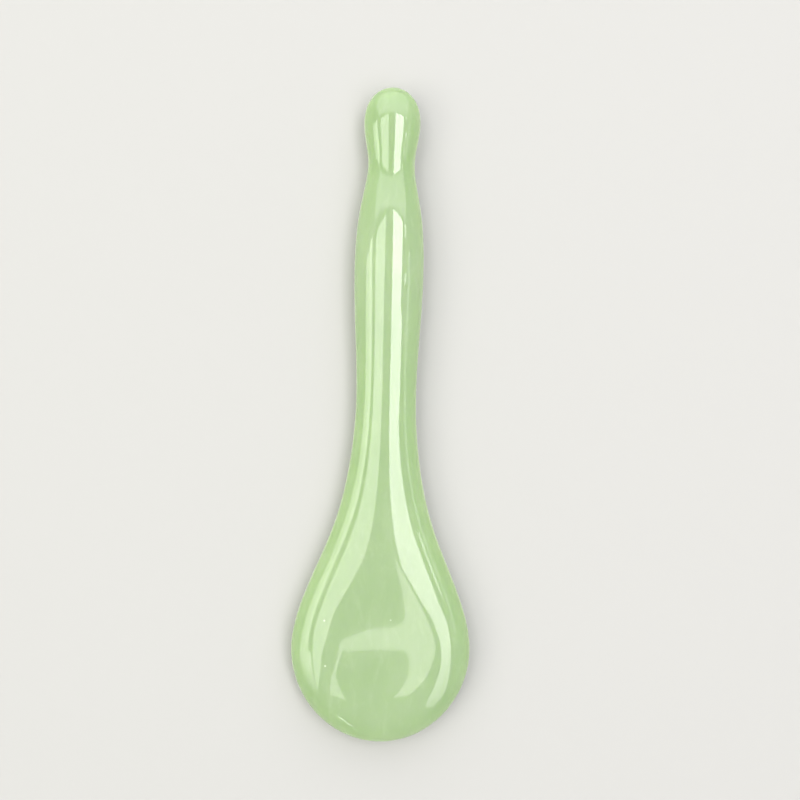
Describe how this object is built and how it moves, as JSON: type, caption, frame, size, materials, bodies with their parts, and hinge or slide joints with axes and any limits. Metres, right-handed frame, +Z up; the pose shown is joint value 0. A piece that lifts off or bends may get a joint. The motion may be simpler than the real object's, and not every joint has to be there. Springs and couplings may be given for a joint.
{
  "type": "gua sha scraper",
  "caption": "Spoon-shaped gua sha scraper: a flat-topped, round-rimmed paddle, a waisted handle and a rounded massage tip, cast in one piece of polished jade-green resin.",
  "frame": {"origin": "on the resting plane, at the middle of the length and width", "axes": "+Y along the handle from the paddle to the massage tip, +Z up out of the face that looks up when the scraper lies on its back, X across the paddle"},
  "size_m": [0.0424, 0.155, 0.0109],
  "materials": {
    "jade_resin": "polished"
  },
  "bodies": {
    "root": {"scraper_body": "jade_resin"}
  },
  "joints": []
}
